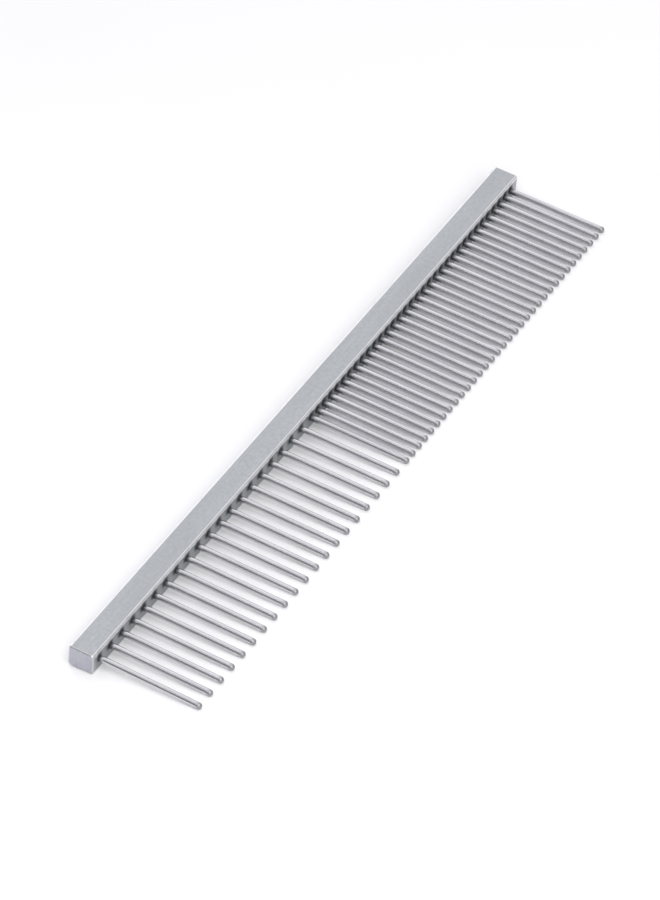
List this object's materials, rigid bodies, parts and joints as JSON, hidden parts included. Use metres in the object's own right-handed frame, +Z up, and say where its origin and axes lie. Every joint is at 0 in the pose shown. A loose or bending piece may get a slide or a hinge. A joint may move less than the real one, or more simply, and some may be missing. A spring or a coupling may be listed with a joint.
{
  "type": "pet grooming comb",
  "caption": "Steel grooming comb: a bar spine with one row of round pressed-in teeth, widely spaced over one half and closely spaced over the other.",
  "frame": {"origin": "on the table that the comb rests on, under the middle of its overall box", "axes": "+X along the spine from the coarse end to the fine end, teeth towards -Y, +Z up off the table; the comb rests tipped forward about X by 4.6 degrees, on its lower front edge and the tooth tips"},
  "size_m": [0.1906, 0.0318, 0.006],
  "materials": {
    "spine_steel": "satin bright steel, very lightly mottled, with burnished edges",
    "tooth_steel": "polished bright steel pins with smooth domed tips"
  },
  "bodies": {
    "root": {"spine": "spine_steel", "coarse_tooth_01": "tooth_steel", "coarse_tooth_02": "tooth_steel", "coarse_tooth_03": "tooth_steel", "coarse_tooth_04": "tooth_steel", "coarse_tooth_05": "tooth_steel", "coarse_tooth_06": "tooth_steel", "coarse_tooth_07": "tooth_steel", "coarse_tooth_08": "tooth_steel", "coarse_tooth_09": "tooth_steel", "coarse_tooth_10": "tooth_steel", "coarse_tooth_11": "tooth_steel", "coarse_tooth_12": "tooth_steel", "coarse_tooth_13": "tooth_steel", "coarse_tooth_14": "tooth_steel", "coarse_tooth_15": "tooth_steel", "coarse_tooth_16": "tooth_steel", "coarse_tooth_17": "tooth_steel", "coarse_tooth_18": "tooth_steel", "coarse_tooth_19": "tooth_steel", "coarse_tooth_20": "tooth_steel", "fine_tooth_01": "tooth_steel", "fine_tooth_02": "tooth_steel", "fine_tooth_03": "tooth_steel", "fine_tooth_04": "tooth_steel", "fine_tooth_05": "tooth_steel", "fine_tooth_06": "tooth_steel", "fine_tooth_07": "tooth_steel", "fine_tooth_08": "tooth_steel", "fine_tooth_09": "tooth_steel", "fine_tooth_10": "tooth_steel", "fine_tooth_11": "tooth_steel", "fine_tooth_12": "tooth_steel", "fine_tooth_13": "tooth_steel", "fine_tooth_14": "tooth_steel", "fine_tooth_15": "tooth_steel", "fine_tooth_16": "tooth_steel", "fine_tooth_17": "tooth_steel", "fine_tooth_18": "tooth_steel", "fine_tooth_19": "tooth_steel", "fine_tooth_20": "tooth_steel", "fine_tooth_21": "tooth_steel", "fine_tooth_22": "tooth_steel", "fine_tooth_23": "tooth_steel", "fine_tooth_24": "tooth_steel", "fine_tooth_25": "tooth_steel", "fine_tooth_26": "tooth_steel", "fine_tooth_27": "tooth_steel", "fine_tooth_28": "tooth_steel", "fine_tooth_29": "tooth_steel", "fine_tooth_30": "tooth_steel", "fine_tooth_31": "tooth_steel", "fine_tooth_32": "tooth_steel", "fine_tooth_33": "tooth_steel", "fine_tooth_34": "tooth_steel"}
  },
  "joints": []
}
